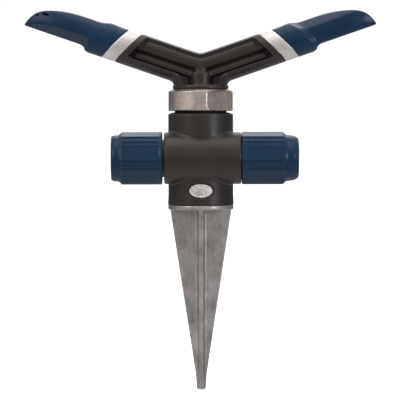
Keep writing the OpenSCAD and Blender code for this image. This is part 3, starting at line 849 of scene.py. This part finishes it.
def ridge(s):
    """Height of the blade's ridge above the arm's axis: level, then falling to the tip."""
    level_t, fall_s, fall_length = 10.5, 84, 40
    run = np.maximum(s - fall_s, 0) / fall_length
    return level_t - 9.9 * run ** 2.4 - 6.5 * run ** 14


def taper(s, start, length, power):
    """1 up to start, then falling to 0 over the length."""
    return np.maximum(1 - (np.maximum(s - start, 0) / length) ** power, 0.12)


def blade_field(s, y, t):
    """The blade: flush with the socket on the spray side, thinner on the other, two flats."""
    back_b = 8.2
    spray_half = (ARM_B - SKIN) * taper(s, 86, 42, 3)
    back_half = back_b * taper(s, 80, 52, 4)
    bar = oval(t, y, ARM_A - SKIN, np.where(y > 0, spray_half, back_half))
    side = smooth_max(t - ridge(s), -BLADE_DROP - t, 0.8)
    blade = smooth_max(bar, side, 1.8)
    nose_r = 1.6
    past_tip, below = np.maximum(s - TIP_S + nose_r, 0), np.minimum(t + BLADE_DROP - nose_r, 0)
    nose = np.hypot(past_tip, below) - nose_r
    blade = smooth_max(blade, nose, 0.8)
    facet_t, facet_y, tilt = 10.3, 1.0, math.radians(33)
    facet = (t - facet_t) * math.cos(tilt) - (y - facet_y) * math.sin(tilt)
    return smooth_max(blade, facet, 0.8)


def nozzle_field(s, y, t):
    """Oval socket, blade, scoop, water channel and spray holes, in arm coordinates."""
    socket_end, blade_start = SOCKET_S + 12.3, SOCKET_S + 6
    start = past_slant(s, y, t, SOCKET_S + 0.1)
    outside = oval(t, y, ARM_A - SKIN, ARM_B - SKIN)
    socket = smooth_max(outside, past_slant(s, y, t, socket_end), 1.6)
    socket = smooth_max(socket, -start, 0.4)
    blade = np.maximum(blade_field(s, y, t), blade_start - s)
    solid = smooth_max(smooth_min(socket, blade, 7.0), outside - 0.2, 1.0)
    solid = np.maximum(solid, -start)

    # The scoop cuts the blade's underside off at a tilt
    scoop_s, tilt = 77.6, math.radians(35)
    under = (t + BLADE_DROP) * math.cos(tilt) - (y - 0.5) * math.sin(tilt)
    solid = carve(solid, smooth_max(under, scoop_s - s, 5.0), 0.35)

    # A core reaches through the band to the arm
    inset = 1.45
    core_ends = np.maximum(past_slant(s, y, t, SOCKET_S + 1), -past_slant(s, y, t, BAND_S + 0.05))
    core = np.maximum(oval(t, y, ARM_A - inset, ARM_B - inset), core_ends)
    solid = np.minimum(solid, core)

    # Seat for the rotor's spigot, then a channel that sinks a little towards the tip
    seat_r, seat_end = 5.85, BAND_S + 16.4
    channel_r, channel_s, sink = 3.0, 66.7, 0.105
    channel_start, tip_wall = 60, 5.5
    from_water = np.hypot(y, t - WATER_T)
    solid = carve(solid, np.maximum(from_water - seat_r, s - seat_end), 0.3)
    channel_t = WATER_T - (s - channel_s) * sink
    channel = np.maximum(np.hypot(y, t - channel_t) - channel_r, s - TIP_S + tip_wall)
    solid = carve(solid, np.maximum(channel, channel_start - s), 0.3)

    # Slanting spray holes, from the channel out through the spray side
    lift = math.radians(20)
    for hole_s, hole_y, hole_t, r_s, r_t in SPRAY_HOLES:
        level = (t - hole_t) * math.cos(lift) - (y - hole_y) * math.sin(lift)
        solid = carve(solid, np.maximum(oval(s - hole_s, level, r_s, r_t), -y), 0.3)
    return solid


def make_nozzles():
    low, high = (BAND_S - 7.5, -11.5, -13.5), (TIP_S + 1.5, 11.5, 13.5)
    verts, faces = dual_mesh(nozzle_field, low, high, 0.42)
    for name, node, turn in (("nozzle_right_moulding", "nozzle_right", 0),
                             ("nozzle_left_moulding", "nozzle_left", 180)):
        add_piece(name, to_world(verts, turn), faces, "rotor", BLUE, [node])


# ---------------------------------------------------------------- stage

DOME_LEVELS = (               # height from straight down, 0, to straight up, 1, and the light
    (0.0, 0.8), (0.15, 0.7), (0.36, 0.36), (0.5, 0.5), (0.72, 0.62), (0.92, 1.0))
SHADE_COLOUR = (0.13, 0.135, 0.18, 1)
SEEN_WHITE = 1.05             # strength of the white that the camera sees
LAMPS = (                     # name, place, size, power and tint of each soft lamp
    ("key", (-620, -560, 420), 500, 1.7, (1, 0.97, 0.94)),
    ("fill", (680, -650, 170), 170, 1.5, (0.88, 0.93, 1)),
    ("top", (0, -120, 800), 600, 1.1, (1, 0.98, 0.97)),
    ("top_back", (60, 640, 620), 520, 1.0, (0.93, 0.92, 1)))


def make_floor():
    """Pale floor under the spike's point, left out of reflections and bounced light."""
    half, below, glow = 12000, 0.5, 0.55
    corners = ((-half, -half), (half, -half), (half, half), (-half, half))
    floor = bpy.data.meshes.new("floor")
    floor.from_pydata([(x * MM, y * MM, (SPIKE_TIP_Z - below) * MM) for x, y in corners], [],
                      [(0, 1, 2, 3)])
    stage = bpy.data.objects.new("floor", floor)
    bpy.context.collection.objects.link(stage)
    n = Nodes("pale_floor")
    n.finish(n.ramp(n.noise(3), [(0.2, (0.93, 0.93, 0.93)), (0.8, (0.95, 0.95, 0.95))]),
             n.to_range(n.noise(5), 0.7, 0.8))
    n.shader.inputs["Emission Color"].default_value = (1, 1, 1, 1)
    n.shader.inputs["Emission Strength"].default_value = glow
    floor.materials.append(n.material)
    stage.visible_glossy = False
    stage.visible_diffuse = False


def world_dome(tree, up):
    """Brightness by height: light below, greyest just under the horizon, white overhead."""
    height = tree.nodes.new("ShaderNodeMapRange")
    height.inputs["From Min"].default_value = -1
    tree.links.new(up, height.inputs["Value"])
    dome = tree.nodes.new("ShaderNodeValToRGB")
    tree.links.new(height.outputs["Result"], dome.inputs["Fac"])
    while len(dome.color_ramp.elements) < len(DOME_LEVELS):
        dome.color_ramp.elements.new(0.5)
    for element, (position, level) in zip(dome.color_ramp.elements, DOME_LEVELS):
        element.position = position
        element.color = (level, level * 0.985, level * 0.975, 1)
    return dome.outputs["Color"]


def world_shade(tree, side, depth, height):
    """Share of shade by direction: full behind, less beside and in front, none far up or down."""

    def unit(operation, *values):
        node = tree.nodes.new("ShaderNodeMath")
        node.operation = operation
        node.use_clamp = True
        for socket, value in zip(node.inputs, values):
            if isinstance(value, (int, float)):
                socket.default_value = value
            else:
                tree.links.new(value, socket)
        return node.outputs[0]

    right_share, everywhere, gain, narrowing = 0.35, 0.15, 1.6, 2.2
    turned = unit("MULTIPLY", side, right_share)
    back = unit("MULTIPLY", unit("ADD", unit("ADD", depth, turned), everywhere), gain)
    level = unit("SUBTRACT", 1.0, unit("MULTIPLY", unit("ABSOLUTE", height), narrowing))
    return unit("MULTIPLY", back, level)


def make_world():
    """The dome and its shade light the object, and the camera sees plain white behind it."""
    world = bpy.data.worlds.new("studio")
    bpy.context.scene.world = world
    world.use_nodes = True
    tree = world.node_tree
    direction = tree.nodes.new("ShaderNodeTexCoord")
    split = tree.nodes.new("ShaderNodeSeparateXYZ")
    tree.links.new(direction.outputs["Generated"], split.inputs[0])
    shade = tree.nodes.new("ShaderNodeMix")
    shade.data_type = "RGBA"
    tree.links.new(world_shade(tree, *split.outputs[:3]), shade.inputs[0])
    tree.links.new(world_dome(tree, split.outputs["Z"]), shade.inputs[6])
    shade.inputs[7].default_value = SHADE_COLOUR
    lit = tree.nodes["Background"]
    tree.links.new(shade.outputs[2], lit.inputs["Color"])
    lit.inputs["Strength"].default_value = 1.0
    seen = tree.nodes.new("ShaderNodeBackground")
    seen.inputs["Strength"].default_value = SEEN_WHITE
    seen.inputs["Color"].default_value = (1, 1, 1, 1)
    path = tree.nodes.new("ShaderNodeLightPath")
    either = tree.nodes.new("ShaderNodeMixShader")
    tree.links.new(path.outputs["Is Camera Ray"], either.inputs[0])
    tree.links.new(lit.outputs[0], either.inputs[1])
    tree.links.new(seen.outputs[0], either.inputs[2])
    tree.links.new(either.outputs[0], tree.nodes["World Output"].inputs["Surface"])
    bpy.context.scene.view_settings.view_transform = "Standard"


def make_lamps():
    for name, place, size, power, tint in LAMPS:
        lamp = bpy.data.lights.new(name, "AREA")
        lamp.shape = "SQUARE"
        lamp.size = size * MM
        lamp.energy = power
        lamp.color = tint
        holder = bpy.data.objects.new(name, lamp)
        holder.location = [v * MM for v in place]
        aim = -holder.location.normalized()
        holder.rotation_mode = "QUATERNION"
        holder.rotation_quaternion = aim.to_track_quat("-Z", "Y")
        bpy.context.collection.objects.link(holder)


def make_camera():
    """Front view from a little above the hose line, as wide and as tilted as the photograph."""
    distance, eye_z, aim_z, field_width = 1500.0, 58.0, 6.2, 274.4
    eye_x, roll = -0.45, math.radians(0.15)    # the roll takes up half of the photographed lean
    down = math.atan2(eye_z - aim_z, distance)
    lens = bpy.data.cameras.new("camera")
    lens.sensor_width = 36
    lens.lens = 36 * math.hypot(distance, eye_z - aim_z) / field_width
    lens.clip_end = 50
    camera = bpy.data.objects.new("camera", lens)
    camera.location = (eye_x * MM, -distance * MM, eye_z * MM)
    camera.rotation_euler = (math.radians(90) - down, roll, 0)
    bpy.context.collection.objects.link(camera)
    bpy.context.scene.camera = camera


make_camera()
make_floor()
make_world()
make_lamps()
make_spike()
make_body()
make_inlet_coupling()
make_outlet_cap()
make_nut()
make_rotor()
make_band("band_right_sleeve", "band_right", 0)
make_band("band_left_sleeve", "band_left", 180)
make_nozzles()
for node_name, material in KEPT_NODES:
    keep_node(node_name, material)
